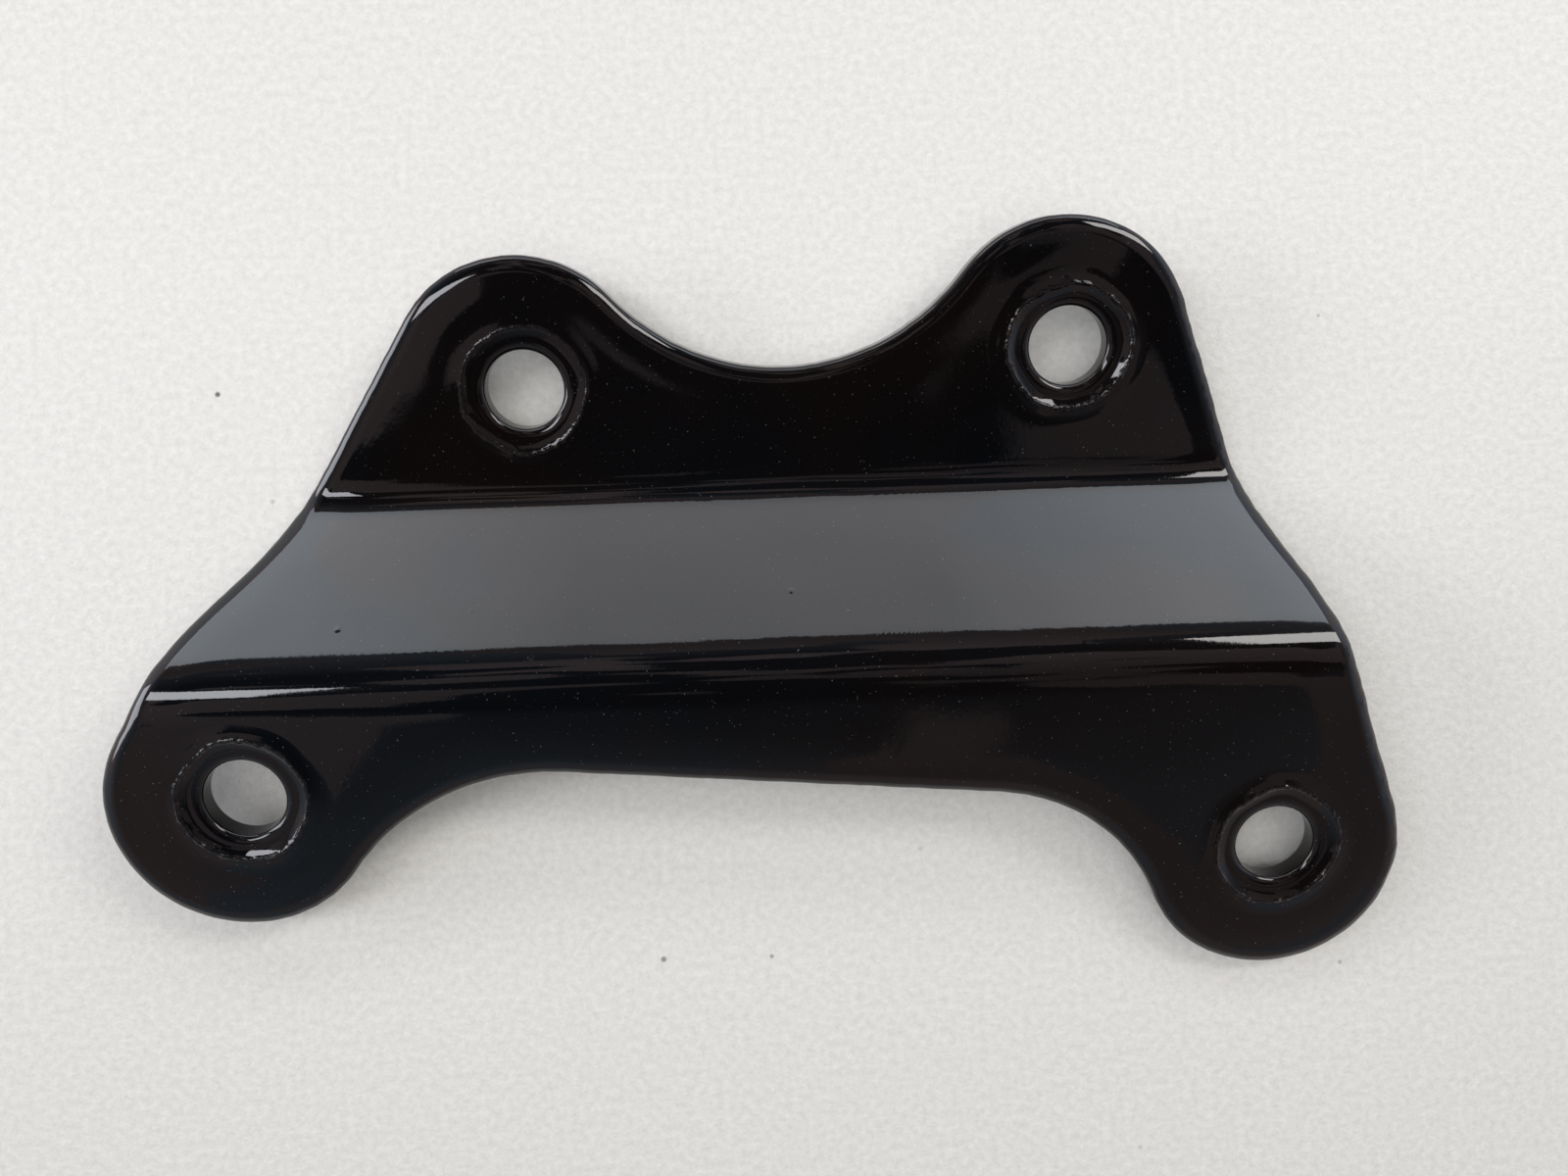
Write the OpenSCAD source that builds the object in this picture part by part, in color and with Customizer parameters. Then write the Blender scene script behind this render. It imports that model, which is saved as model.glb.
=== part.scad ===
// Engine hanger plate: one thick steel sheet, cut to its outline, punched with four bolt holes and
// folded twice into a step, so that its upper eyes and its two legs lie in parallel planes.
// It lies as it comes to rest on a level surface: on the round back of the upper fold and on the
// tip of the longer leg. Lengths are in millimetres.

/* [Sheet] */
// Thickness of the sheet with its coat
sheet_t = 4.5; // [4:0.1:5]
// Inside radius of both folds
fold_r = 5.5; // [5:0.1:6]
// Angle that each fold turns the sheet through
fold_angle = 45; // [42:1:46]
// Straight length of the sloping web between the folds
web_len = 22.6; // [20:0.1:23]

/* [Outline] */
// Radius of the lobe round each bolt hole
lobe_r = 18; // [17:0.1:18.5]
// Upper left lobe, along the folds from the plate's middle
upper_left_x = -32.5; // [-36:0.1:-30]
// Upper left lobe, up the blank from the start of the upper fold
upper_left_y = 12.8; // [10:0.1:15]
// Upper right lobe, along the folds
upper_right_x = 44.2; // [40:0.1:48]
// Upper right lobe, up the blank
upper_right_y = 16.2; // [13:0.1:19]
// Lower left lobe, along the folds
lower_left_x = -71.5; // [-75:0.1:-68]
// Lower left lobe, up the blank, so below zero
lower_left_y = -47.5; // [-50:0.1:-47.2]
// Lower right lobe, along the folds
lower_right_x = 71.5; // [68:0.1:75]
// Lower right lobe, up the blank, so below zero
lower_right_y = -61; // [-64:0.1:-58]
// Radius of the dip between the upper lobes
dip_r = 32; // [28:0.5:36]
// Height of the bridge's straight lower edge, at the plate's middle
bridge_y = -47.3; // [-49:0.1:-45]
// Slope of that edge, falling to the right
bridge_slope = 5.4; // [3:0.1:7]
// Radius of the sweep from the bridge into the left leg
left_sweep_r = 33; // [28:0.5:35]
// Radius of the sweep from the bridge into the right leg
right_sweep_r = 27; // [22:0.5:29]
// How far the left side edge bows in below the upper fold and out above the lower one
left_bow = 0.6; // [0:0.1:1]
// How far the right side edge bows
right_bow = 0.4; // [0:0.1:1]

/* [Edges] */
// How far the rounding of the upper edge reaches over the face
round_w = 2.4; // [1.5:0.1:2.8]
// How far that rounding reaches down the wall
round_h = 1.6; // [1:0.1:2]
// Radius of the lower edge
lower_edge_r = 0.8; // [0.4:0.1:1]

/* [Bolt holes] */
// Radius of the four bolt holes
hole_r = 5.5; // [4.5:0.05:5.7]
// Radius of the seat that a bolt head has pressed round each hole
seat_r = 8.6; // [8:0.1:9.4]
// Depth of that seat
seat_depth = 0.25; // [0.1:0.05:0.4]
// Radius of the holes' upper rims
upper_rim_r = 0.8; // [0.4:0.1:1]
// Radius of the holes' lower rims
lower_rim_r = 0.9; // [0.3:0.1:1]
// Upper left hole, its place against the middle of its lobe
upper_left_shift = [0.7, -0.3]; // [-2:0.1:2]
// Upper right hole against its lobe
upper_right_shift = [0.5, 0.1]; // [-2:0.1:2]
// Lower left hole against its lobe
lower_left_shift = [1.1, 1.2]; // [-2:0.1:2]
// Lower right hole against its lobe
lower_right_shift = [-0.1, 1.4]; // [-2:0.1:2]

/* [Smoothness] */
// Degrees between two points of a curved edge
arc_step = 5; // [3:1:10]
// Flat strips that make up each fold
fold_strips = 8; // [4:1:10]
// Flat strips that make up the web
web_strips = 6; // [2:1:8]

/* [Hidden] */
$fn = 72;

coat_color = "#15171b";
round_steps = 5;
edge_steps = 3;
// A rim's arc stops this share short of lying flush with the face and with the bore
rim_share = 0.97;
overcut = 1;
// Turn that keeps a hole's seam off the corners of the sheet's facets
cutter_turn = 23;

upper_left = [upper_left_x, upper_left_y];
upper_right = [upper_right_x, upper_right_y];
lower_left = [lower_left_x, lower_left_y];
lower_right = [lower_right_x, lower_right_y];

// Length of sheet that a fold takes up, measured on the middle of the thickness
fold_len = (fold_r + sheet_t / 2) * fold_angle * PI / 180;
outer_fold_r = fold_r + sheet_t;
step_h = (fold_r + outer_fold_r) * (1 - cos(fold_angle)) + web_len * sin(fold_angle);
// Distance, seen square to the flats, from the start of the upper fold to the end of the lower one
step_run = (fold_r + outer_fold_r) * sin(fold_angle) + web_len * cos(fold_angle);
folded_len = 2 * fold_len + web_len;

// The sheet's shape: a point of the flat blank, x along the folds and y up the blank, goes to its
// place in the folded sheet. w is its height over the upper face, so -sheet_t on the lower face.
function web_point(m, w) =
    let (c = cos(fold_angle), s = sin(fold_angle))
    [w * s - fold_r * s - m * c, fold_r * (1 - c) + m * s + w * c];

function fold_yz(d, w) =
    d <= 0 ? [-d, w] :
    d <= fold_len ? let (a = fold_angle * d / fold_len, r = fold_r - w)
        [-r * sin(a), fold_r - r * cos(a)] :
    d <= fold_len + web_len ? web_point(d - fold_len, w) :
    d <= folded_len ? let (a = fold_angle * (folded_len - d) / fold_len, r = outer_fold_r + w)
        [r * sin(a) - step_run, r * cos(a) + step_h - outer_fold_r] :
    [folded_len - d - step_run, step_h + w];

function folded(p, w) = let (yz = fold_yz(-p.y, w)) [p.x, yz[0], yz[1]];

// The blank's outline, clockwise from the upper left lobe. Each entry is a point, the outward
// direction there, and the direction in which the point slides when the edge is rounded.
function dir(a) = [cos(a), sin(a)];
function angle_to(p, q) = atan2(q.y - p.y, q.x - p.x);

function arc(c, r, a0, a1, out) =
    let (n = ceil(abs(a1 - a0) / arc_step))
    [for (i = [0:n]) let (a = a0 + (a1 - a0) * i / n) [c + r * dir(a), out * dir(a)]];

// The point at the distance d from both p and q, on the left of the way from p to q
function apex(p, q, d) =
    let (half = (q - p) / 2, rise = sqrt(d * d - half * half))
    p + half + rise * [-half.y, half.x] / norm(half);

// Middle of a sweep that touches the bridge's lower edge and a lobe, left or right of it
function sweep_centre(lobe, r, side) =
    let (along = dir(-bridge_slope), below = dir(-bridge_slope - 90))
    let (v = [0, bridge_y] + r * below - lobe, reach = lobe_r + r)
    lobe + v + (side * sqrt((v * along) ^ 2 - v * v + reach ^ 2) - v * along) * along;

// Stations of the side edges, down the blank over the upper fold, the web and the lower fold
fold_stations = concat(
    [for (i = [0:fold_strips]) -fold_len * i / fold_strips],
    [for (i = [1:web_strips - 1]) -fold_len - web_len * i / web_strips],
    [for (i = [0:fold_strips]) -fold_len - web_len - fold_len * i / fold_strips]);

// Shape of the bow: in over the upper half of that length, out over the lower half, and level with
// the straight edge at both ends
function bow_at(y) = let (share = -y / folded_len) -1.3 * sin(360 * share) * sin(180 * share);

// Side edge: the line that touches the lobes round p and q, on the side of the angle a, bowed
function side_edge(p, q, a, bow, stations) =
    [for (y = stations)
        let (t = (y - p.y - lobe_r * sin(a)) / (q.y - p.y), out = [1 / cos(a), 0])
        [p + lobe_r * dir(a) + t * (q - p) + bow * bow_at(y) * out, out]];

left_angle = angle_to(lower_left, upper_left) + 90;
right_angle = angle_to(lower_right, upper_right) - 90;
dip_centre = apex(upper_left, upper_right, lobe_r + dip_r);
left_sweep = sweep_centre(lower_left, left_sweep_r, 1);
right_sweep = sweep_centre(lower_right, right_sweep_r, -1);
bridge_angle = 90 - bridge_slope;
dip_left = angle_to(upper_left, dip_centre);
dip_right = angle_to(upper_right, dip_centre);
sweep_left = angle_to(lower_left, left_sweep);
sweep_right = angle_to(right_sweep, lower_right) - 180;

// Neighbouring arcs share an end, so a later arc leaves out its first point
function tail(v) = [for (i = [1:len(v) - 1]) v[i]];

upper_left_lobe = arc(upper_left, lobe_r, left_angle, dip_left, 1);
dip = tail(arc(dip_centre, dip_r, dip_left + 180, dip_right + 180, -1));
upper_right_lobe = tail(arc(upper_right, lobe_r, dip_right, right_angle, 1));
right_edge = side_edge(upper_right, lower_right, right_angle, right_bow, fold_stations);
lower_right_lobe = arc(lower_right, lobe_r, right_angle, sweep_right, 1);
right_sweep_arc = tail(arc(right_sweep, right_sweep_r, sweep_right + 180, bridge_angle, -1));
left_sweep_arc = arc(left_sweep, left_sweep_r, bridge_angle, sweep_left + 180, -1);
lower_left_lobe = tail(arc(lower_left, lobe_r, sweep_left, left_angle - 360, 1));
left_edge = side_edge(lower_left, upper_left, left_angle, left_bow,
    [for (i = [len(fold_stations) - 1:-1:0]) fold_stations[i]]);

outline = concat(upper_left_lobe, dip, upper_right_lobe, right_edge,
    lower_right_lobe, right_sweep_arc, left_sweep_arc, lower_left_lobe, left_edge);

// Section of the rounded edge: how far a ring lies inside the outline, and its height
edge_rings = concat(
    [for (i = [0:round_steps]) let (a = 90 * i / round_steps)
        [round_w * (1 - sin(a)), round_h * (cos(a) - 1)]],
    [for (i = [0:edge_steps]) let (a = 90 * i / edge_steps)
        [lower_edge_r * (1 - cos(a)), lower_edge_r * (1 - sin(a)) - sheet_t]]);

sheet_points = [for (ring = edge_rings) for (e = outline) folded(e[0] - ring[0] * e[1], ring[1])];

// Places in the outline of the ends of its stretches, the dip's lowest point and the bridge's end
count = len(outline);
dip_low = len(upper_left_lobe) + floor(len(dip) / 2);
right_start = len(upper_left_lobe) + len(dip) + len(upper_right_lobe);
lower_start = right_start + len(right_edge);
bridge_end = lower_start + len(lower_right_lobe) + len(right_sweep_arc) - 1;
left_start = count - len(left_edge);

// Triangles from one corner of a flat to the stretch of outline that the corner sees
function fan(corner, from, to) = [for (i = [from:to - 1]) [corner, i, i + 1]];

// One face of the sheet: fans over the two flats, and strips across the folds and the web
face_loops = concat(
    fan(count - 1, 0, dip_low),
    [[count - 1, dip_low, right_start]],
    fan(right_start, dip_low, right_start - 1),
    [for (i = [0:len(right_edge) - 2])
        [right_start + i, right_start + i + 1, count - 2 - i, count - 1 - i]],
    fan(lower_start - 1, lower_start, bridge_end),
    [[lower_start - 1, bridge_end, left_start]],
    fan(left_start, bridge_end, left_start - 1));

function reversed(v) = [for (i = [len(v) - 1:-1:0]) v[i]];

last_ring = (len(edge_rings) - 1) * count;
wall_faces = [for (k = [0:len(edge_rings) - 2]) for (i = [0:count - 1])
    let (j = (i + 1) % count, a = k * count, b = a + count)
    each [[a + j, a + i, b + i], [a + j, b + i, b + j]]];
sheet_faces = concat(
    face_loops,
    [for (loop = face_loops) reversed([for (i = loop) i + last_ring])],
    wall_faces);

// Lean of the resting plate: the line that touches the round back of the upper fold and the
// rounded lower edge at the tip of the longer leg is level
tip_y = lower_right_y - lobe_r;
tip = fold_yz(-tip_y - lower_edge_r, lower_edge_r - sheet_t) - [0, fold_r];
rest_lean = atan2(tip[1], -tip[0]) + asin((outer_fold_r - lower_edge_r) / norm(tip));

function leaned(p) =
    let (c = cos(rest_lean), s = sin(rest_lean)) [p.x, p.y * c - p.z * s, p.y * s + p.z * c];

resting = [for (p = sheet_points) leaned(p)];
rest_x = [for (p = resting) p.x];
rest_y = [for (p = resting) p.y];
rest_z = [for (p = resting) p.z];
rest_middle = [(min(rest_x) + max(rest_x)) / 2, (min(rest_y) + max(rest_y)) / 2, min(rest_z)];

// Section of a mouth that widens a hole towards its face: the face is at y = 0, the hole below it
module rim_section(r) {
    inset = r * rim_share;
    difference() {
        translate([0, -inset])
            square([hole_r + inset, inset + overcut / 2]);
        translate([hole_r + inset, -inset])
            circle(r);
    }
}

// What a bolt hole takes out of the sheet, from its seat to its lower rim
module bolt_hole(centre) {
    translate(folded(centre, 0))
        rotate([0, 0, cutter_turn])
            rotate_extrude() {
                translate([0, -sheet_t - overcut])
                    square([hole_r, sheet_t + 2 * overcut]);
                translate([0, -seat_depth])
                    square([seat_r, seat_depth + overcut]);
                translate([0, -seat_depth])
                    rim_section(upper_rim_r);
                translate([0, -sheet_t])
                    mirror([0, 1])
                        rim_section(lower_rim_r);
            }
}

module hanger_plate() {
    color(coat_color)
        translate(-rest_middle)
            rotate([rest_lean, 0, 0])
                difference() {
                    polyhedron(sheet_points, sheet_faces);
                    bolt_hole(upper_left + upper_left_shift);
                    bolt_hole(upper_right + upper_right_shift);
                    bolt_hole(lower_left + lower_left_shift);
                    bolt_hole(lower_right + lower_right_shift);
                }
}

hanger_plate();
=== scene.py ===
# %% [markdown]
# An engine hanger plate: one thick steel sheet with two upper eyes and two legs, folded into a step
# and covered with a thick gloss black powder coat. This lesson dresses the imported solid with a
# smoother sheet of the same size, a coat with its small flaws, a pale table and soft light.

import math

import bpy
import numpy as np
from mathutils import Matrix


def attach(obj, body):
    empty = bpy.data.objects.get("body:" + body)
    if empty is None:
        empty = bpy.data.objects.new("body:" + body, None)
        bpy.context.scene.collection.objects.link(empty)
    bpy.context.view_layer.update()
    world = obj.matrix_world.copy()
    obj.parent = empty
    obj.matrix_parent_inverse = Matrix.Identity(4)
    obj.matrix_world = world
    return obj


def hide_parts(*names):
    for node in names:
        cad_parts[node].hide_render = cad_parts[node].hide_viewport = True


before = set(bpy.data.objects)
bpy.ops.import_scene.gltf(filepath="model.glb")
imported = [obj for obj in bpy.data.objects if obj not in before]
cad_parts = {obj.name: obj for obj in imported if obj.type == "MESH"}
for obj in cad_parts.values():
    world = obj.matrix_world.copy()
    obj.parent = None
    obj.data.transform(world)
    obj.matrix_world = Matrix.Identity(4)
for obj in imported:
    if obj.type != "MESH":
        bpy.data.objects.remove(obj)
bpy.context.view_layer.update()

# %% [markdown]
# The camera looks almost straight down from about 19 cm above the table, with a wide lens. That
# short distance is why the legs at the bottom of the picture look larger than the upper eyes. The
# camera's own axes are written as three directions, which is easier to read than three angles.

# %% Camera
camera_data = bpy.data.cameras.new("camera")
camera_data.sensor_width = 36
camera_data.lens = 29.25
camera_data.clip_start = 0.01
camera = bpy.data.objects.new("camera", camera_data)
bpy.context.scene.collection.objects.link(camera)
bpy.context.scene.camera = camera

CAMERA_PLACE = (-0.002165, 0.002734, 0.186578)
picture_right = np.array([0.99884, -0.0366, 0.03143])
picture_up = np.array([0.03652, 0.99933, 0.0032])
towards_viewer = np.array([-0.03153, -0.00205, 0.9995])
view_matrix = np.eye(4)
view_matrix[:3, :3] = np.stack([picture_right, picture_up, towards_viewer], axis=1)
view_matrix[:3, 3] = CAMERA_PLACE
camera.matrix_world = Matrix(view_matrix.tolist())
print("camera height in mm:", round(camera.location.z * 1000, 1))

# %% [markdown]
# The sheet is drawn flat first, as the blank that a cutter would make: x runs along the folds and
# y up the blank from the start of the upper fold. All lengths of the blank are in millimetres, and
# they are the same named values as in the solid.

# %% Sizes of the blank
SHEET_T, FOLD_R, WEB_LEN = 4.5, 5.5, 22.6
FOLD_ANGLE = math.radians(45)
LOBE_R, DIP_R = 18.0, 32.0
LEFT_SWEEP_R, RIGHT_SWEEP_R = 33.0, 27.0
LEFT_BOW, RIGHT_BOW = 0.6, 0.4
BRIDGE_Y, BRIDGE_SLOPE = -47.3, math.radians(5.4)
ROUND_W, ROUND_H, LOWER_EDGE_R = 2.4, 1.6, 0.8
HOLE_R, SEAT_R, SEAT_DEPTH = 5.5, 8.6, 0.25
UPPER_RIM_R, LOWER_RIM_R = 0.8, 0.9

upper_left, upper_right = np.array([-32.5, 12.8]), np.array([44.2, 16.2])
lower_left, lower_right = np.array([-71.5, -47.5]), np.array([71.5, -61.0])
HOLES = {
    "upper_left": upper_left + (0.7, -0.3),
    "upper_right": upper_right + (0.5, 0.1),
    "lower_left": lower_left + (1.1, 1.2),
    "lower_right": lower_right + (-0.1, 1.4),
}
FOLD_LEN = (FOLD_R + SHEET_T / 2) * FOLD_ANGLE
OUTER_R = FOLD_R + SHEET_T
STEP_H = (FOLD_R + OUTER_R) * (1 - math.cos(FOLD_ANGLE)) + WEB_LEN * math.sin(FOLD_ANGLE)
STEP_RUN = (FOLD_R + OUTER_R) * math.sin(FOLD_ANGLE) + WEB_LEN * math.cos(FOLD_ANGLE)
FOLDED_LEN = 2 * FOLD_LEN + WEB_LEN
print("step between the flats in mm:", round(STEP_H, 2))

# %% [markdown]
# Folding is a function of the blank: a point at x, y and at the height w over the face goes to its
# place in the folded sheet. In a fold the sheet turns evenly, so the face inside the fold shortens
# and the one outside it stretches. The same turn carries the normals, so the reflections in the
# folds are as smooth as on the pressed part.


# %% Folding the blank
# Distances along the blank, in both directions, over which the fold's angle is averaged
GENTLE = np.linspace(-1.5, 1.5, 13)


def fold_turn(y):
    """Angle of the sheet at y: rises evenly over the upper fold, stays level over the web, and
    falls evenly over the lower fold."""
    into = np.clip(-y / FOLD_LEN, 0, 1)
    out_of = np.clip((-y - FOLD_LEN - WEB_LEN) / FOLD_LEN, 0, 1)
    return FOLD_ANGLE * (into - out_of)


def folded(x, y, w):
    """Arc of the radius FOLD_R - w for the upper fold, then the straight web, then the opposite
    arc of the radius OUTER_R + w for the lower fold, and the flats beyond them."""
    turn, down = fold_turn(y), -y
    web = np.clip(down - FOLD_LEN, 0, WEB_LEN)
    upper_y = np.maximum(y, 0) - (FOLD_R - w) * np.sin(turn) - web * math.cos(FOLD_ANGLE)
    upper_z = FOLD_R - (FOLD_R - w) * np.cos(turn) + web * math.sin(FOLD_ANGLE)
    beyond = np.maximum(down - FOLDED_LEN, 0)
    lower_y = (OUTER_R + w) * np.sin(turn) - STEP_RUN - beyond
    lower_z = (OUTER_R + w) * np.cos(turn) + STEP_H - OUTER_R
    above = down <= FOLD_LEN + WEB_LEN
    return np.stack([x, np.where(above, upper_y, lower_y), np.where(above, upper_z, lower_z)], -1)


def folded_normal(y, w, normal):
    """A normal of the blank, its part along y shared out over the fold's stretch, turned by the
    angle of the sheet at y. The angle is averaged over three millimetres, as a pressed fold
    begins gently."""
    turn = np.mean([fold_turn(y + nearby) for nearby in GENTLE], axis=0)
    down = -y
    middle_r = FOLD_R + SHEET_T / 2
    in_upper = (down > 0) & (down < FOLD_LEN)
    in_lower = (down > FOLD_LEN + WEB_LEN) & (down < FOLDED_LEN)
    stretch = np.where(in_upper, (FOLD_R - w) / middle_r, 1.0)
    stretch = np.where(in_lower, (OUTER_R + w) / middle_r, stretch)
    along = normal[..., 1] / stretch
    turned = np.stack([
        normal[..., 0],
        along * np.cos(turn) + normal[..., 2] * np.sin(turn),
        normal[..., 2] * np.cos(turn) - along * np.sin(turn)], -1)
    return turned / np.linalg.norm(turned, axis=-1, keepdims=True)


# %% [markdown]
# The folded sheet lies on the round back of its upper fold and on the tip of its longer leg, so it
# leans. The lean is the angle of the line that touches both.

# %% Lean of the resting plate
tip = folded(0.0, lower_right[1] - LOBE_R + LOWER_EDGE_R, LOWER_EDGE_R - SHEET_T)[1:] - (0, FOLD_R)
REST_LEAN = math.atan2(tip[1], -tip[0]) + math.asin((OUTER_R - LOWER_EDGE_R) / np.hypot(*tip))
lean = np.array([
    [1, 0, 0],
    [0, math.cos(REST_LEAN), -math.sin(REST_LEAN)],
    [0, math.sin(REST_LEAN), math.cos(REST_LEAN)]])
print("lean in degrees:", round(math.degrees(REST_LEAN), 3))


# %% [markdown]
# The outline is made of arcs that touch each other and of straight edges between them. It is kept
# as stretches, because the face is later filled in cells and each cell needs its own stretches.
# A stretch holds points and the outward direction at each, so that any ring inside the outline is
# the same stretch moved inwards.

# %% Arcs and edges of the outline
SPACING = 1.0


def unit(angle):
    """The direction at an angle, as cosine and sine."""
    return np.stack([np.cos(angle), np.sin(angle)], -1)


def angle_to(p, q):
    """Angle of the way from p to q."""
    return math.atan2(q[1] - p[1], q[0] - p[0])


def steps_for(length):
    """Number of steps that keeps neighbouring points about SPACING apart."""
    return max(2, math.ceil(length / SPACING))


def arc(centre, radius, start, stop, side=1, steps=None):
    """Centre plus radius times the direction at angles evenly spaced from start to stop; outwards
    is that direction, or its opposite where the metal lies outside the arc."""
    steps = steps or steps_for(radius * abs(stop - start))
    directions = unit(np.linspace(start, stop, steps + 1))
    return np.concatenate([centre + radius * directions, side * directions], axis=1)


def edge(p, q, outward, steps=None):
    """Points evenly spaced on the line from p to q, all with the same outward direction."""
    steps = steps or steps_for(np.hypot(*(q - p)))
    share = np.linspace(0, 1, steps + 1)[:, None]
    return np.concatenate([p + share * (q - p), np.broadcast_to(outward, (steps + 1, 2))], axis=1)


def bowed(stretch, bow):
    """A straight side moved outwards by a wave over the folds and the web: inwards over its upper
    half, outwards over its lower half, and nothing at both ends. The wave is a whole sine times
    half a sine, scaled so that its peak is about one."""
    share = np.clip(-stretch[:, 1] / FOLDED_LEN, 0, 1)
    wave = -1.3 * np.sin(2 * math.pi * share) * np.sin(math.pi * share)
    stretch[:, 0] += bow * wave / stretch[:, 2]
    return stretch


def sweep_centre(lobe, radius, side):
    """Middle of the arc that touches the bridge's lower edge and a lobe: it lies one radius below
    the edge, and one radius and a lobe's radius from the lobe's middle."""
    along, below = unit(-BRIDGE_SLOPE), unit(-BRIDGE_SLOPE - math.pi / 2)
    v = np.array([0, BRIDGE_Y]) + radius * below - lobe
    reach = LOBE_R + radius
    return lobe + v + (side * math.sqrt((v @ along) ** 2 - v @ v + reach ** 2) - v @ along) * along


# %% Stretches, clockwise from the upper left lobe
left_out = angle_to(lower_left, upper_left) + math.pi / 2
right_out = angle_to(lower_right, upper_right) - math.pi / 2
half = (upper_right - upper_left) / 2
dip_centre = upper_left + half + math.sqrt((LOBE_R + DIP_R) ** 2 - half @ half) * np.array(
    [-half[1], half[0]]) / np.hypot(*half)
left_sweep = sweep_centre(lower_left, LEFT_SWEEP_R, 1)
right_sweep = sweep_centre(lower_right, RIGHT_SWEEP_R, -1)
dip_left, dip_right = angle_to(upper_left, dip_centre), angle_to(upper_right, dip_centre)
sweep_left, sweep_right = angle_to(lower_left, left_sweep), angle_to(lower_right, right_sweep)
bridge_out = math.pi / 2 - BRIDGE_SLOPE

# Places where the outline is cut between the cells
DIP_CUTS = (math.radians(245), math.radians(290))
BRIDGE_CUTS = (-10.0, 16.0)
SWEEP_CUTS = (math.radians(110), math.radians(58))
EDGE_CUTS = (-20.0, -32.0)
MIDDLE_STEPS = 24
DIVIDE_STEPS = 48


def on_side(lobe, other, out, y):
    """Point at the height y of the straight edge that touches both lobes."""
    start = lobe + LOBE_R * unit(out)
    return start + (y - start[1]) / (other[1] - lobe[1]) * (other - lobe)


def on_bridge(x):
    """Point of the bridge's lower edge at x."""
    return np.array([x, BRIDGE_Y - x * math.tan(BRIDGE_SLOPE)])


left_cut = on_side(lower_left, upper_left, left_out, EDGE_CUTS[0])
right_cut = on_side(lower_right, upper_right, right_out, EDGE_CUTS[1])
bridge_left_end = left_sweep + LEFT_SWEEP_R * unit(bridge_out)
bridge_right_end = right_sweep + RIGHT_SWEEP_R * unit(bridge_out)
below_bridge = -unit(bridge_out)

outline = {
    "upper_left_lobe": arc(upper_left, LOBE_R, left_out, dip_left),
    "dip_left_flank": arc(dip_centre, DIP_R, dip_left + math.pi, DIP_CUTS[0], -1),
    "dip_floor": arc(dip_centre, DIP_R, *DIP_CUTS, -1, MIDDLE_STEPS),
    "dip_right_flank": arc(dip_centre, DIP_R, DIP_CUTS[1], dip_right + math.pi, -1),
    "upper_right_lobe": arc(upper_right, LOBE_R, dip_right, right_out),
    "right_edge": bowed(
        edge(upper_right + LOBE_R * unit(right_out), right_cut, unit(right_out)), RIGHT_BOW),
    "right_leg_edge": bowed(
        edge(right_cut, lower_right + LOBE_R * unit(right_out), unit(right_out)), RIGHT_BOW),
    "lower_right_lobe": arc(lower_right, LOBE_R, right_out, sweep_right),
    "right_leg_sweep": arc(right_sweep, RIGHT_SWEEP_R, sweep_right + math.pi, SWEEP_CUTS[1], -1),
    "right_sweep": arc(right_sweep, RIGHT_SWEEP_R, SWEEP_CUTS[1], bridge_out, -1),
    "bridge_right": edge(bridge_right_end, on_bridge(BRIDGE_CUTS[1]), below_bridge),
    "bridge_middle": edge(
        on_bridge(BRIDGE_CUTS[1]), on_bridge(BRIDGE_CUTS[0]), below_bridge, MIDDLE_STEPS),
    "bridge_left": edge(on_bridge(BRIDGE_CUTS[0]), bridge_left_end, below_bridge),
    "left_sweep": arc(left_sweep, LEFT_SWEEP_R, bridge_out, SWEEP_CUTS[0], -1),
    "left_leg_sweep": arc(left_sweep, LEFT_SWEEP_R, SWEEP_CUTS[0], sweep_left + math.pi, -1),
    "lower_left_lobe": arc(lower_left, LOBE_R, sweep_left, left_out - 2 * math.pi),
    "left_leg_edge": bowed(
        edge(lower_left + LOBE_R * unit(left_out), left_cut, unit(left_out)), LEFT_BOW),
    "left_edge": bowed(
        edge(left_cut, upper_left + LOBE_R * unit(left_out), unit(left_out)), LEFT_BOW),
}
ring = np.concatenate([stretch[:-1] for stretch in outline.values()])
gaps = np.hypot(*(np.roll(ring[:, :2], -1, axis=0) - ring[:, :2]).T)
print("outline:", len(ring), "points,", round(gaps.sum(), 1), "mm round, longest gap",
      round(gaps.max(), 2), "mm")

# %% [markdown]
# Relief is what the coat adds to the flat face, as a function of x and y: slow waves, the round
# seat that a bolt head has pressed round each hole, and the low ring with a ragged ridge that the
# coat forms round that seat. The seat's wall has a plain slope, because that slope is what mirrors
# a lamp as a short bright crescent. The raggedness goes round a hole, so it is a sum of whole waves
# round the circle. Towards the outline the coat draws back, as thick powder does in the oven. The
# face lies a hair under the solid's own, and only the waves' crests and the rings rise above it.

# %% Relief of the coat
rng = np.random.default_rng(11)
WAVE_LENGTHS = (9, 11, 13, 16, 19, 23, 29, 37)
# For each wave its size, its rate per millimetre, its heading and its phase
WAVES = [(rng.uniform(0.0024, 0.0060) * length / 12, 2 * math.pi / length,
          rng.uniform(0, math.pi), rng.uniform(0, 2 * math.pi)) for length in WAVE_LENGTHS]
# For each hole the height of the ring round its seat, of the ragged ridge, and the seat's depth
LIPS = {"upper_left": (0.10, 0.03, 0.16), "upper_right": (0.28, 0.10, 0.28),
        "lower_left": (0.26, 0.10, 0.28), "lower_right": (0.22, 0.08, 0.25)}
HAIR = 0.03
WALL_W, WALL_POWER, RING_W = 1.25, 1.15, 1.4
SEAT_WANDER, RIDGE_WANDER = 0.13, 0.06
RIDGE_OUT, RIDGE_W, LIP_W = 0.12, 0.2, 0.22
DRAW_BACK, DRAW_BACK_W = 0.26, 4.0


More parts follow.
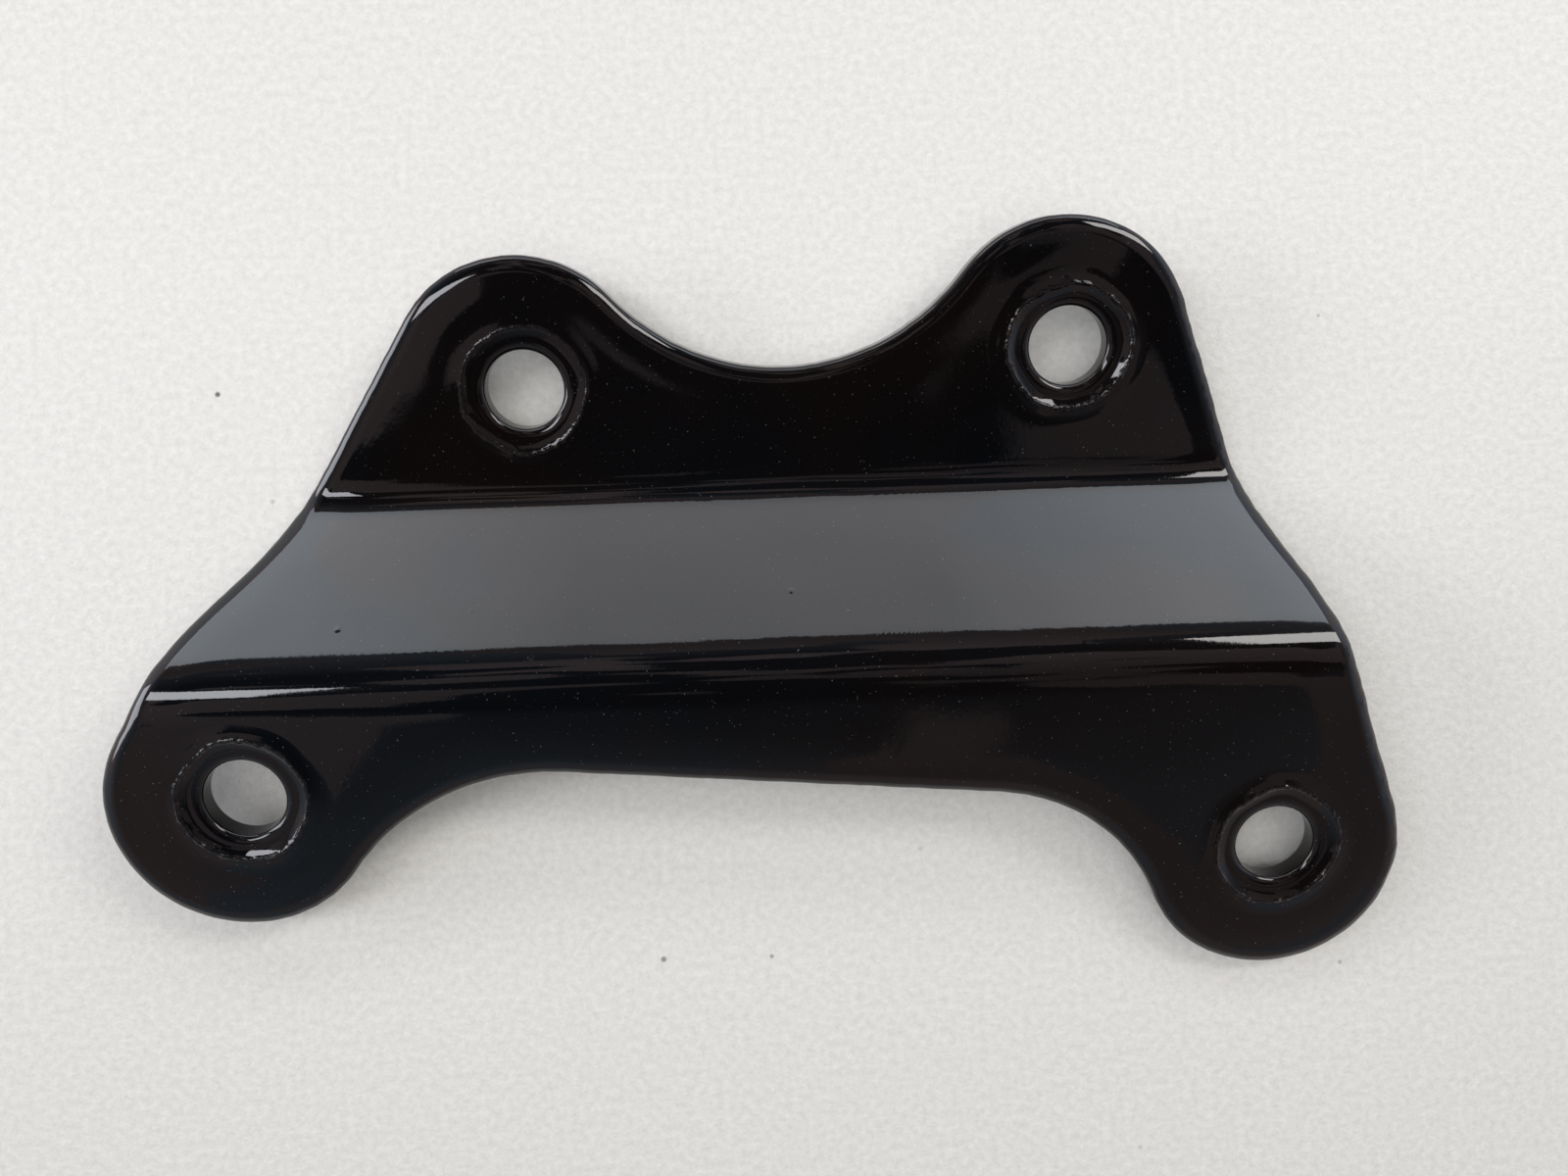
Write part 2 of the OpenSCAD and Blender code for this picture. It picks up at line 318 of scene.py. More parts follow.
def ragged(angle, lowest, highest, seed):
    """Sum of whole waves round a circle, the finer ones lower, scaled to about one."""
    phases = np.random.default_rng(seed).uniform(0, 2 * math.pi, highest - lowest + 1)
    counts = np.arange(lowest, highest + 1)
    waves = np.cos(np.multiply.outer(angle, counts) + phases) / np.sqrt(counts)
    return waves.sum(-1) / np.sqrt((1 / counts).sum() / 2)


def smooth_step(low, high, value):
    """0 below low, 1 above high, and a smooth S between them."""
    share = np.clip((value - low) / (high - low), 0, 1)
    return share * share * (3 - 2 * share)


def slow_waves(x, y):
    """Sum of long low sine waves that run in different directions."""
    height = 0.0
    for size, rate, heading, phase in WAVES:
        height = height + size * np.sin(
            rate * (x * math.cos(heading) + y * math.sin(heading)) + phase)
    return height


def seat_and_lip(x, y):
    """Sum over the four holes of a height and of a lip share: the sunk seat, an almost straight
    wall from it up to a low ring, a bell that falls away outside the ring, and on the ring a
    narrow ridge whose height changes raggedly round the hole."""
    height, lip_share = 0.0, 0.0
    for seed, (name, hole) in enumerate(HOLES.items()):
        ring_h, ridge_h, deep = LIPS[name]
        away, angle = np.hypot(x - hole[0], y - hole[1]), np.arctan2(y - hole[1], x - hole[0])
        out = away - SEAT_R - SEAT_WANDER * ragged(angle, 2, 7, 40 + seed)
        wall = (deep + ring_h) * np.clip((out + WALL_W) / WALL_W, 0, 1) ** WALL_POWER - deep
        bell = ring_h * np.exp(-(np.maximum(out, 0) / RING_W) ** 2)
        ridge = ridge_h * np.clip(0.4 + 0.7 * ragged(angle, 8, 70, 60 + seed), 0, 2)
        beside = out - RIDGE_OUT - RIDGE_WANDER * ragged(angle, 10, 60, 50 + seed)
        ridge = ridge * np.exp(-((beside / RIDGE_W) ** 2))
        height = height + np.where(out < 0, wall, bell) + ridge
        lip_share = lip_share + np.exp(-((beside / LIP_W) ** 2))
    return height, lip_share


def from_edge(x, y):
    """Distance of each point from the nearest point of the outline, for some 2000 points at a
    time, to spare memory."""
    flat = np.stack([np.ravel(x), np.ravel(y)], -1)
    nearest = [np.hypot(*(part[:, None] - ring[None, :, :2]).transpose(2, 0, 1)).min(1)
               for part in np.array_split(flat, 1 + len(flat) // 2000)]
    return np.concatenate(nearest).reshape(np.shape(x))


def draw_back(x, y):
    """The coat draws back from the edge: a bell of the distance from it, taken away from the
    height, that has died away about eight millimetres in."""
    return -DRAW_BACK * np.exp(-((from_edge(x, y) / DRAW_BACK_W) ** 2))


def coat_height(x, y):
    """Waves, seats, lips and the fall towards the edge together, lowered by a hair."""
    height, lip_share = seat_and_lip(x, y)
    return height + slow_waves(x, y) + draw_back(x, y) - HAIR, lip_share


# %% [markdown]
# The edge is a section carried along the outline: a wide soft rounding where the coat thins out
# over the upper edge, the wall, and a small radius at the lower edge. The wall gets a slow wobble
# along the outline, as a sawn and blasted edge has, and more of it on the right, where the coat is
# rough enough to catch the light in fine flecks.

# %% Section of the rounded edge
BACK_HEIGHT = 2 * HAIR - SHEET_T
EDGE_WOBBLE, RIGHT_WOBBLE = 0.03, 0.05
TORN_INSET, TORN_W = 0.8, 0.35


def edge_section():
    """Inset and height down the edge: a quarter ellipse, the straight wall and a quarter circle."""
    top = np.linspace(0, math.pi / 2, 13)
    low = np.linspace(0, math.pi / 2, 6)
    inset = np.concatenate([ROUND_W * (1 - np.sin(top)), LOWER_EDGE_R * (1 - np.cos(low))])
    height = np.concatenate([
        ROUND_H * (np.cos(top) - 1), LOWER_EDGE_R * (1 - np.sin(low)) + BACK_HEIGHT])
    return inset, height


def inside(stretch, inset):
    """The points of a stretch moved inwards by the inset."""
    return stretch[:, :2] - inset * stretch[:, 2:]


inset, height = edge_section()
share = (inset / ROUND_W)[:, None]
# The way round the outline as an angle, so that whole waves meet where it closes
way_round = np.concatenate([[0], np.cumsum(gaps)[:-1]]) / gaps.sum() * 2 * math.pi
# One where the outline faces right, zero elsewhere
right_side = smooth_step(0.75, 0.97, ring[:, 2])
wobble = 1 + np.clip(ragged(way_round, 20, 220, 5), -1, 1)
wobble = (EDGE_WOBBLE + RIGHT_WOBBLE * right_side) * wobble
edge_inset = HAIR + inset[:, None] + (1 - share) ** 2 * wobble
edge_inset = np.where(share >= 1, ROUND_W, edge_inset)
edge_inset[-1] = LOWER_EDGE_R
edge_x = ring[:, 0] - edge_inset * ring[:, 2]
edge_y = ring[:, 1] - edge_inset * ring[:, 3]
face_height, _ = coat_height(edge_x, edge_y)
over_face = smooth_step(-ROUND_H, 0, height)[:, None]
edge_band = np.stack([edge_x, edge_y, height[:, None] + over_face * face_height], -1)
torn = np.clip(ragged(way_round, 60, 400, 6), 0, 1) * right_side
edge_lip = np.exp(-(((inset - TORN_INSET) / TORN_W) ** 2))[:, None] * torn
edge_lip[height < -ROUND_H] = 0
print("edge band:", edge_band.shape[:2])

# %% [markdown]
# The face has four holes, so one grid can't cover it. It is cut into five cells: one round each
# hole and one in the middle between the dip and the bridge. A cell round a hole is a grid of two
# parameters: round the hole, and outwards from the bore to the cell's border. Near the hole its
# lines are true circles, which the seat needs, and further out they melt into the border.

# %% Cells of the face


def cut_between(stretches, one, other):
    """Points evenly spaced between the starts of two stretches. Their number comes from the
    outline itself, so the upper and the lower face have as many."""
    steps = steps_for(np.hypot(*(outline[other][0, :2] - outline[one][0, :2])))
    return np.linspace(stretches[one][0], stretches[other][0], steps + 1)


def cell_borders(inset):
    """Closed borders of the four cells round the holes, clockwise, made of stretches moved inwards
    and of straight cuts, and the two long sides of the middle cell."""
    s = {name: inside(stretch, inset) for name, stretch in outline.items()}
    left_divide = np.linspace(s["dip_floor"][0], s["bridge_middle"][-1], DIVIDE_STEPS + 1)
    right_divide = np.linspace(s["dip_floor"][-1], s["bridge_middle"][0], DIVIDE_STEPS + 1)
    left_leg = cut_between(s, "left_edge", "left_leg_sweep")
    right_leg = cut_between(s, "right_leg_edge", "right_sweep")
    loops = {
        "upper_left": [s["upper_left_lobe"], s["dip_left_flank"], left_divide, s["bridge_left"],
                       s["left_sweep"], left_leg[::-1], s["left_edge"]],
        "upper_right": [s["upper_right_lobe"], s["right_edge"], right_leg, s["right_sweep"],
                        s["bridge_right"], right_divide[::-1], s["dip_right_flank"]],
        "lower_right": [s["lower_right_lobe"], s["right_leg_sweep"], right_leg[::-1],
                        s["right_leg_edge"]],
        "lower_left": [s["lower_left_lobe"], s["left_leg_edge"], left_leg, s["left_leg_sweep"]],
    }
    closed = {name: np.concatenate([part[:-1] for part in parts]) for name, parts in loops.items()}
    return closed, s["dip_floor"], s["bridge_middle"][::-1]


def cell_rows(hole, facing, border, radii, shares):
    """Grid round a hole: circles of the given radii, with their points on the rays to the border
    they face, then the given shares of the way from the last circle to the cell's own border."""
    directions = unit(np.arctan2(facing[:, 1] - hole[1], facing[:, 0] - hole[0]))
    circles = hole + np.asarray(radii)[:, None, None] * directions
    blends = circles[-1] + np.asarray(shares)[:, None, None] * (border - circles[-1])
    return np.concatenate([circles, blends])


# %% [markdown]
# Each grid turns into points, normals and four-sided faces. The normals come from the two
# directions of the grid, before folding, and then take the same turn as the sheet. Where two grids
# meet, their points fall on each other and are joined, and their normals are averaged.

# %% Grids to one mesh
grids = []


def grid_normals(points, closed):
    """Cross product of the differences along the two directions of a grid."""
    padded = np.concatenate([points[:, -1:], points, points[:, :1]], axis=1) if closed else points
    across = np.gradient(padded, axis=1)
    across = across[:, 1:-1] if closed else across
    normals = np.cross(np.gradient(points, axis=0), across)
    return normals / np.maximum(np.linalg.norm(normals, axis=-1, keepdims=True), 1e-12)


def add_grid(points, closed, flip, lip_share=None):
    """Keeps a grid of the blank with its normals and lip share; flip turns its faces over."""
    normals = grid_normals(points, closed) * (-1 if flip else 1)
    if lip_share is None:
        lip_share = np.zeros(points.shape[:2])
    grids.append((points, normals, lip_share, closed, flip))


# %% Grids of the upper face and the bores
# Radii of the circles round a hole, close together where the wall and the ridge are, then shares
# of the way to the border
NEAR = np.concatenate([np.linspace(6.95, 7.6, 5), np.linspace(7.75, 9.9, 21), [10.3, 11.0]])
FAR = np.linspace(0, 1, 53)[1:]
# The upper rim of a bore is drawn out sideways by the coat
RIM_DRAWN_OUT = 1.7
rim = np.linspace(0, math.pi / 2, 7)
low_rim = np.linspace(0, math.pi / 2, 5)
bore_radii = np.concatenate([
    HOLE_R + LOWER_RIM_R * (1 - np.sin(low_rim)),
    HOLE_R + RIM_DRAWN_OUT * UPPER_RIM_R * (1 - np.cos(rim))])
bore_heights = np.concatenate([
    BACK_HEIGHT + LOWER_RIM_R * (1 - np.cos(low_rim)),
    -SEAT_DEPTH - UPPER_RIM_R * (1 - np.sin(rim))])


def with_height(places, height):
    """Places in the blank and their heights as points."""
    return np.concatenate([places, np.broadcast_to(height, places.shape[:2])[..., None]], -1)


upper_cells, upper_top, upper_bottom = cell_borders(ROUND_W)
for name, border in upper_cells.items():
    face = cell_rows(HOLES[name], border, border, NEAR, FAR)
    face_height, lip_share = coat_height(face[..., 0], face[..., 1])
    bore = cell_rows(HOLES[name], border, border, bore_radii, [])
    seat_height, _ = coat_height(bore[-1, :, 0], bore[-1, :, 1])
    rise = (seat_height + SEAT_DEPTH) * smooth_step(-SHEET_T, -SEAT_DEPTH, bore_heights)[:, None]
    bore = with_height(bore, bore_heights[:, None] + rise)
    whole = np.concatenate([bore, with_height(face, face_height)])
    lips = np.concatenate([np.zeros(bore.shape[:2]), lip_share])
    add_grid(whole, True, True, lips)
print("points per cell:", [len(border) for border in upper_cells.values()])

# %% Grids of the underside, the middle and the edge
BACK_RADII = [HOLE_R + LOWER_RIM_R, 6.6, 8, 10]
BACK_SHARES = np.linspace(0, 1, 13)[1:]

lower_cells, lower_top, lower_bottom = cell_borders(LOWER_EDGE_R)
for name, border in lower_cells.items():
    back = cell_rows(HOLES[name], upper_cells[name], border, BACK_RADII, BACK_SHARES)
    add_grid(with_height(back, BACK_HEIGHT), True, False)


def middle_cell(top, bottom):
    """Grid between the dip and the bridge: even shares of the way from one to the other."""
    share = np.linspace(0, 1, DIVIDE_STEPS + 1)[:, None, None]
    return top + share * (bottom - top)


middle = middle_cell(upper_top, upper_bottom)
middle_height, _ = coat_height(middle[..., 0], middle[..., 1])
add_grid(with_height(middle, middle_height), False, False)
add_grid(with_height(middle_cell(lower_top, lower_bottom), BACK_HEIGHT), False, True)
add_grid(edge_band, True, True, edge_lip)
print("grids:", [g[0].shape[:2] for g in grids])

# %% [markdown]
# The grids are joined by rounding their points to a thousandth of a millimetre and keeping each
# place once. Faces whose corners have run together are dropped. Only then is the sheet folded and
# leaned, so all of it goes through the same two functions. It rests a hundredth of a millimetre
# above the table, so the two never share a face.


# %% Join the grids, fold the sheet and lean it
ABOVE_TABLE = 0.01


def quads_of(rows, columns, closed, flip, first):
    """Corner numbers of a grid's faces, wound the other way for a flipped grid."""
    index = first + np.arange(rows * columns).reshape(rows, columns)
    right = np.roll(index, -1, axis=1) if closed else index[:, 1:]
    here = index if closed else index[:, :-1]
    corners = np.stack([here[:-1], here[1:], right[1:], right[:-1]], -1).reshape(-1, 4)
    return corners[:, ::-1] if flip else corners


flat_points = np.concatenate([g[0].reshape(-1, 3) for g in grids])
flat_normals = np.concatenate([g[1].reshape(-1, 3) for g in grids])
lip_shares = np.concatenate([g[2].reshape(-1) for g in grids])
firsts = np.concatenate([[0], np.cumsum([g[2].size for g in grids])])
quads = np.concatenate([
    quads_of(*g[0].shape[:2], g[3], g[4], first) for g, first in zip(grids, firsts)])

_, keep, joined = np.unique(
    np.round(flat_points, 3), axis=0, return_index=True, return_inverse=True)
joined = joined.reshape(-1)
quads = joined[quads]
points = flat_points[keep]
normals = np.stack([np.bincount(joined, flat_normals[:, k]) for k in range(3)], -1)
normals /= np.linalg.norm(normals, axis=-1, keepdims=True)
lip_shares = lip_shares[keep]
whole_quads = (quads != np.roll(quads, 1, axis=1)).all(1) & (quads[:, 0] != quads[:, 2])
quads = quads[whole_quads]

x, y, w = points.T
place = folded(x, y, w) @ lean.T
low, high = place.min(0), place.max(0)
place -= ((low[0] + high[0]) / 2, (low[1] + high[1]) / 2, low[2])
place[:, 2] += ABOVE_TABLE
normals = folded_normal(y, w, normals) @ lean.T
print("joined:", len(flat_points), "points to", len(place))

# %% Mesh of the plate
plate_mesh = bpy.data.meshes.new("hanger_plate_coat")
plate_mesh.vertices.add(len(place))
plate_mesh.vertices.foreach_set("co", (place * 0.001).ravel())
plate_mesh.loops.add(quads.size)
plate_mesh.loops.foreach_set("vertex_index", quads.ravel())
plate_mesh.polygons.add(len(quads))
plate_mesh.polygons.foreach_set("loop_start", np.arange(0, quads.size, 4))
plate_mesh.polygons.foreach_set("use_smooth", np.ones(len(quads), bool))
plate_mesh.update()
plate_mesh.validate()
plate_mesh.normals_split_custom_set_from_vertices(normals.tolist())
lip_attribute = plate_mesh.attributes.new("lip", "FLOAT", "POINT")
lip_attribute.data.foreach_set("value", np.clip(lip_shares, 0, 1))
plate = bpy.data.objects.new("hanger_plate_coat", plate_mesh)
bpy.context.scene.collection.objects.link(plate)
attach(plate, "root")
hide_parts("hanger_plate")
print("sheet:", len(place), "points,", len(quads), "faces")

# %% [markdown]
# Fine grain is used twice: as the orange peel of the coat and as the tooth of the table. It is a
# node group with its own size and unevenness, placed in each material with its own values.

# %% Fine grain, a node group


def fine_grain_group():
    """Noise at two sizes, mixed: a height from 0 to 1."""
    group = bpy.data.node_groups.new("fine grain", "ShaderNodeTree")
    group.interface.new_socket("Vector", in_out="INPUT", socket_type="NodeSocketVector")
    group.interface.new_socket("Grains per metre", in_out="INPUT", socket_type="NodeSocketFloat")
    group.interface.new_socket("Height", in_out="OUTPUT", socket_type="NodeSocketFloat")
    nodes, links = group.nodes, group.links
    given, result = nodes.new("NodeGroupInput").outputs, nodes.new("NodeGroupOutput").inputs
    coarse, fine = nodes.new("ShaderNodeTexNoise"), nodes.new("ShaderNodeTexNoise")
    coarse.inputs["Detail"].default_value = 1
    fine.inputs["Detail"].default_value = 2
    faster = nodes.new("ShaderNodeMath")
    faster.operation = "MULTIPLY"
    faster.inputs[1].default_value = 2.7
    both = nodes.new("ShaderNodeMix")
    both.inputs["Factor"].default_value = 0.4
    links.new(given["Vector"], coarse.inputs["Vector"])
    links.new(given["Vector"], fine.inputs["Vector"])
    links.new(given["Grains per metre"], coarse.inputs["Scale"])
    links.new(given["Grains per metre"], faster.inputs[0])
    links.new(faster.outputs[0], fine.inputs["Scale"])
    links.new(coarse.outputs["Fac"], both.inputs["A"])
    links.new(fine.outputs["Fac"], both.inputs["B"])
    links.new(both.outputs["Result"], result["Height"])
    return group


fine_grain = fine_grain_group()


def grain_in(tree, place_in, per_metre):
    """Places the fine grain in a material, fed with a position."""
    node = tree.nodes.new("ShaderNodeGroup")
    node.node_tree = fine_grain
    node.inputs["Grains per metre"].default_value = per_metre
    tree.links.new(place_in, node.inputs["Vector"])
    return node.outputs["Height"]


# %% Small helpers for node trees


def new_material(name):
    """A material with nodes, its tree and its shader."""
    material = bpy.data.materials.new(name)
    material.use_nodes = True
    return material, material.node_tree, material.node_tree.nodes["Principled BSDF"]


def math_node(tree, operation, first, second=None, third=None, clamp=False):
    """One Math node; each input is a socket or a number."""
    node = tree.nodes.new("ShaderNodeMath")
    node.operation, node.use_clamp = operation, clamp
    for socket, value in zip(node.inputs, (first, second, third)):
        if isinstance(value, (int, float)):
            socket.default_value = value
        elif value is not None:
            tree.links.new(value, socket)
    return node.outputs[0]


def noise(tree, vector, scale, detail=2.0, roughness=0.5):
    """A noise's value at a position."""
    node = tree.nodes.new("ShaderNodeTexNoise")
    tree.links.new(vector, node.inputs["Vector"])
    node.inputs["Scale"].default_value = scale
    node.inputs["Detail"].default_value = detail
    node.inputs["Roughness"].default_value = roughness
    return node.outputs["Fac"]


def remap(tree, value, low, high, to_low=0.0, to_high=1.0):
    """A value's range turned into another, held at both ends."""
    node = tree.nodes.new("ShaderNodeMapRange")
    tree.links.new(value, node.inputs["Value"])
    for socket, number in zip(("From Min", "From Max", "To Min", "To Max"),
                              (low, high, to_low, to_high)):
        node.inputs[socket].default_value = number
    return node.outputs["Result"]


def mix_colours(tree, factor, first, second):
    """Two colours, or sockets with colours, mixed by a factor."""
    node = tree.nodes.new("ShaderNodeMix")
    node.data_type = "RGBA"
    tree.links.new(factor, node.inputs["Factor"])
    for socket, colour in ((node.inputs["A"], first), (node.inputs["B"], second)):
        if isinstance(colour, tuple):
            socket.default_value = (*colour, 1)
        else:
            tree.links.new(colour, socket)
    return node.outputs["Result"]


# %% [markdown]
# Gloss black powder coat: almost no colour of its own, so all that is seen is what it reflects. It
# is never flat: an orange peel about a millimetre across, small nibs of dust under the coat, and a
# duller, broken surface on the lips. The colour wanders a little between blue-black and red-brown.
# The heights of peel, nibs and crumbs are added up in millimetres and go into one bump.

# %% Gloss black coat
PEEL_H, NIB_H, CRUMB_H = 0.0045, 0.03, 0.09
DUST_SHARE, LIP_DULLNESS = 0.3, 0.10
coat, tree, shader = new_material("gloss_black_coat")
position = tree.nodes.new("ShaderNodeTexCoord").outputs["Object"]
tone = remap(tree, noise(tree, position, 22, 3), 0.4, 0.62)
black = mix_colours(tree, tone, (0.0016, 0.0019, 0.0027), (0.0034, 0.0019, 0.0016))
lip = tree.nodes.new("ShaderNodeAttribute")
lip.attribute_name = "lip"

nib_cells = tree.nodes.new("ShaderNodeTexVoronoi")
nib_cells.inputs["Scale"].default_value = 230
tree.links.new(position, nib_cells.inputs["Vector"])
nib = remap(tree, nib_cells.outputs["Distance"], 0.02, 0.13, 1, 0)
chosen = tree.nodes.new("ShaderNodeSeparateColor")
tree.links.new(nib_cells.outputs["Color"], chosen.inputs["Color"])
nib = math_node(tree, "MULTIPLY", nib, remap(tree, chosen.outputs["Red"], 0.88, 0.93))
nib = math_node(tree, "MULTIPLY", nib, math_node(tree, "ADD", chosen.outputs["Green"], 0.2))

peel = grain_in(tree, position, 700)
crumbs = noise(tree, position, 2600, 2)
lip_crumbs = math_node(tree, "MULTIPLY", crumbs, lip.outputs["Fac"])
coat_micro = math_node(tree, "MULTIPLY", lip_crumbs, CRUMB_H)
coat_micro = math_node(tree, "MULTIPLY_ADD", nib, NIB_H, coat_micro)
coat_micro = math_node(tree, "MULTIPLY_ADD", peel, PEEL_H, coat_micro)
bump = tree.nodes.new("ShaderNodeBump")
bump.inputs["Strength"].default_value = 1.0
bump.inputs["Distance"].default_value = 0.001
tree.links.new(coat_micro, bump.inputs["Height"])
tree.links.new(bump.outputs["Normal"], shader.inputs["Normal"])

dust = remap(tree, noise(tree, position, 3100, 1), 0.74, 0.8)
black = mix_colours(tree, math_node(tree, "MULTIPLY", dust, DUST_SHARE), black, (0.3, 0.3, 0.32))
tree.links.new(black, shader.inputs["Base Color"])
gloss = remap(tree, noise(tree, position, 45, 3), 0.35, 0.7, 0.03, 0.07)
gloss = math_node(tree, "MULTIPLY_ADD", lip.outputs["Fac"], LIP_DULLNESS, gloss)
tree.links.new(gloss, shader.inputs["Roughness"])
shader.inputs["IOR"].default_value = 1.5
plate_mesh.materials.append(coat)
print("coat nodes:", len(tree.nodes))

# %% [markdown]
# The table is a plain pale surface with a fine tooth and a few dark specks. It is one large flat
# grid. Its grain is only bump and a slight change of tone, and a painted shade darkens it a little
# towards the front. Far from the part, where the lamps don't reach, the camera sees the backdrop's
# own colour in it, so the table runs into the backdrop without an edge.

# %% Table
TABLE_POINTS = 7
table_side = np.linspace(-3, 3, TABLE_POINTS)
table_x, table_y = np.meshgrid(table_side, table_side)
table_points = np.stack([table_x, table_y, np.zeros_like(table_x)], -1).reshape(-1, 3)
table_quads = quads_of(TABLE_POINTS, TABLE_POINTS, False, True, 0)
table_mesh = bpy.data.meshes.new("table")
table_mesh.from_pydata(table_points.tolist(), [], table_quads.tolist())
table = bpy.data.objects.new("table", table_mesh)
bpy.context.scene.collection.objects.link(table)
print("table faces:", len(table_quads))

# %% Pale finish of the table
table_coat, tree, shader = new_material("pale_table")
position = tree.nodes.new("ShaderNodeTexCoord").outputs["Object"]
tooth = grain_in(tree, position, 900)
table_tone = remap(tree, tooth, 0.3, 0.7)
pale = mix_colours(tree, table_tone, (0.71, 0.695, 0.67), (0.84, 0.825, 0.80))
table_axes = tree.nodes.new("ShaderNodeSeparateXYZ")
tree.links.new(position, table_axes.inputs[0])
# Painted shade: towards the front the table's colour turns into a darker, shaded copy of itself
painted_front_shade = remap(tree, table_axes.outputs["Y"], 0.05, -0.11)
shaded_pale = mix_colours(tree, table_tone, (0.62, 0.605, 0.585), (0.74, 0.725, 0.70))
pale = mix_colours(tree, painted_front_shade, pale, shaded_pale)
speck_cells = tree.nodes.new("ShaderNodeTexVoronoi")
speck_cells.inputs["Scale"].default_value = 130
tree.links.new(position, speck_cells.inputs["Vector"])
speck = remap(tree, speck_cells.outputs["Distance"], 0.03, 0.07, 1, 0)
speck_pick = tree.nodes.new("ShaderNodeSeparateColor")
tree.links.new(speck_cells.outputs["Color"], speck_pick.inputs["Color"])
speck = math_node(tree, "MULTIPLY", speck, remap(tree, speck_pick.outputs["Red"], 0.90, 0.96))
pale = mix_colours(tree, speck, pale, (0.12, 0.11, 0.10))
tree.links.new(pale, shader.inputs["Base Color"])
shader.inputs["Roughness"].default_value = 0.55
bump = tree.nodes.new("ShaderNodeBump")
bump.inputs["Distance"].default_value = 0.00012
tree.links.new(tooth, bump.inputs["Height"])
tree.links.new(bump.outputs["Normal"], shader.inputs["Normal"])
table_mesh.materials.append(table_coat)
print("table nodes:", len(tree.nodes))

# %% Where the table runs into the backdrop
BACKDROP = (0.82, 0.81, 0.80, 1)
from_part = tree.nodes.new("ShaderNodeVectorMath")
from_part.operation = "LENGTH"
tree.links.new(position, from_part.inputs[0])
far_off = remap(tree, from_part.outputs["Value"], 0.3, 1.3)
seen_by_camera = tree.nodes.new("ShaderNodeLightPath").outputs["Is Camera Ray"]
glow = tree.nodes.new("ShaderNodeEmission")
glow.inputs["Color"].default_value = BACKDROP
blend = tree.nodes.new("ShaderNodeMixShader")
tree.links.new(math_node(tree, "MULTIPLY", far_off, seen_by_camera), blend.inputs[0])
tree.links.new(shader.outputs[0], blend.inputs[1])
tree.links.new(glow.outputs[0], blend.inputs[2])
tree.links.new(blend.outputs[0], tree.nodes["Material Output"].inputs["Surface"])
print("table nodes with the backdrop:", len(tree.nodes))

# %% [markdown]
# A glossy black part is lit by what it mirrors. The web mirrors the room behind the upper eyes, so
# a broad soft panel stands there, a little brighter at both ends. The folds, the rounded edges and
# the seats' walls sweep past two smaller panels above the left and the right, and the left edge
# shows a low one far to the left. A direction is written as two slopes: how far it leans to the
# right and to the back for each metre that it rises.

# %% Soft panels


def soft_panel(name, right, back, distance, size_x, size_y, radiance, colour, turn=0.0):
    """A rectangular lamp that faces the part, turned in its own plane by so many degrees. Its power
    is pi times its area times the radiance that a mirror would show."""
    data = bpy.data.lights.new(name, "AREA")
    data.shape, data.size, data.size_y = "RECTANGLE", size_x, size_y
    data.energy = math.pi * size_x * size_y * radiance
    data.color = colour
    panel = bpy.data.objects.new(name, data)
    bpy.context.scene.collection.objects.link(panel)
    away = np.array([right, back, 1.0])
    away /= np.linalg.norm(away)
    across = np.array([1.0, 0, 0]) - away[0] * away
    across /= np.linalg.norm(across)
    matrix = np.eye(4)
    matrix[:3, :3] = np.stack([across, np.cross(away, across), away], axis=1)
    matrix[:3, 3] = distance * away
    panel.matrix_world = Matrix(matrix.tolist()) @ Matrix.Rotation(math.radians(turn), 4, "Z")
    return panel


behind = soft_panel("panel_behind", 0.02, 1.65, 2.0, 3.0, 0.5, 3.0, (0.90, 0.95, 1.0))
soft_panel("panel_left", -0.68, 0.15, 2.0, 1.0, 0.34, 9, (0.94, 0.95, 1.0), -24)
soft_panel("panel_right", 0.84, 0.62, 2.0, 1.0, 0.44, 9, (1.0, 0.98, 0.96), 18)
soft_panel("panel_far_left", -2.4, 0.3, 2.2, 0.7, 1.4, 6, (0.90, 0.92, 1.0))

# The panel behind is brighter at its ends than in its middle
behind.data.use_nodes = True
tree = behind.data.node_tree
across = tree.nodes.new("ShaderNodeSeparateXYZ")
tree.links.new(tree.nodes.new("ShaderNodeNewGeometry").outputs["Parametric"], across.inputs[0])
from_middle = math_node(tree, "ABSOLUTE", math_node(tree, "SUBTRACT", across.outputs["X"], 0.5))
brightness = remap(tree, from_middle, 0.1, 0.26, 0.62, 1.0)
tree.links.new(brightness, tree.nodes["Emission"].inputs["Strength"])

# %% [markdown]
# The rest of the room is a function of the direction only. What the gloss mirrors is dim, and
# darkest almost straight above the part, where the flats look: its brightness grows with the
# distance from the darkest direction, and broad patches divide it, so that the flats aren't one
# even tone. The light that the matt table gets comes softly from overhead, so it also reaches the
# table through the bolt holes. The camera itself sees a plain pale backdrop.

# %% Room that the gloss mirrors
DARKEST = (0.16, -0.32, 1.0)
PATCH_CONTRAST, PATCH_MIDDLE = 0.57, 0.68
world = bpy.data.worlds.new("room")
world.use_nodes = True
bpy.context.scene.world = world
tree = world.node_tree
room = tree.nodes["Background"]
direction = tree.nodes.new("ShaderNodeTexCoord").outputs["Generated"]
from_darkest = tree.nodes.new("ShaderNodeVectorMath")
from_darkest.operation = "DISTANCE"
from_darkest.inputs[1].default_value = (np.array(DARKEST) / np.linalg.norm(DARKEST)).tolist()
tree.links.new(direction, from_darkest.inputs[0])
axes = tree.nodes.new("ShaderNodeSeparateXYZ")
tree.links.new(direction, axes.inputs[0])
overhead = remap(tree, from_darkest.outputs["Value"], 0.12, 0.75, 0.16, 0.42)
low_down = remap(tree, axes.outputs["Z"], 0.60, 0.40, 0.0, 0.9)
